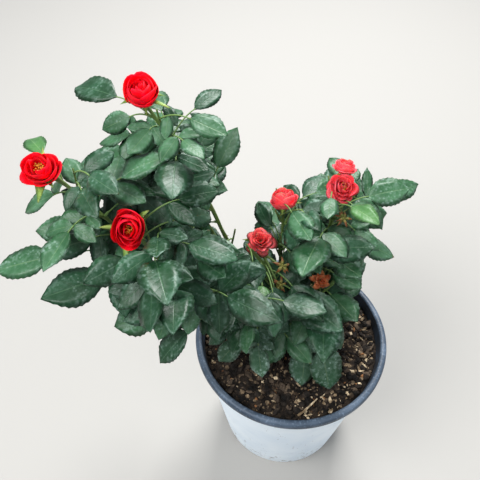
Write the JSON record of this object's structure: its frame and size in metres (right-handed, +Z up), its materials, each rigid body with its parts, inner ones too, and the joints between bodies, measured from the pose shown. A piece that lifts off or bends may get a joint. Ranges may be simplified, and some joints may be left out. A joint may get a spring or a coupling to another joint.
{
  "type": "potted rose bush",
  "caption": "Small-flowered patio rose in a tapered plastic pot: leaning canes with serrated compound leaves and red blooms over dark potting soil.",
  "frame": {"origin": "centre of the flat underside of the pot", "axes": "+Z up out of the pot; the plant leans to -X; -Y is the side that the picture looks from"},
  "size_m": [0.4636, 0.3384, 0.603],
  "materials": {
    "pot": "matt white paint on plastic, with a bare slate-grey lip",
    "soil": "damp potting soil with bark chips",
    "cane": "green to brown bark with prickles",
    "foliage": "semi-matt leaves"
  },
  "bodies": {
    "root": {"pot": "pot", "soil": "soil", "stem": "cane", "cane_tall_left": "cane", "cane_far_left": "cane", "cane_front_left": "cane", "cane_mid_left": "cane", "cane_inner_left": "cane", "cane_centre": "cane", "cane_centre_front": "cane", "cane_right": "cane", "cane_front": "cane", "cane_back_left": "cane", "cane_back_right": "cane", "spray_tall_left": "foliage", "spray_far_left": "foliage", "spray_front_left": "foliage", "spray_mid_left": "foliage", "spray_inner_left": "foliage", "spray_centre": "foliage", "spray_centre_front": "foliage", "spray_right": "foliage", "spray_front": "foliage", "spray_back_left": "foliage", "spray_back_right": "foliage"}
  },
  "joints": []
}
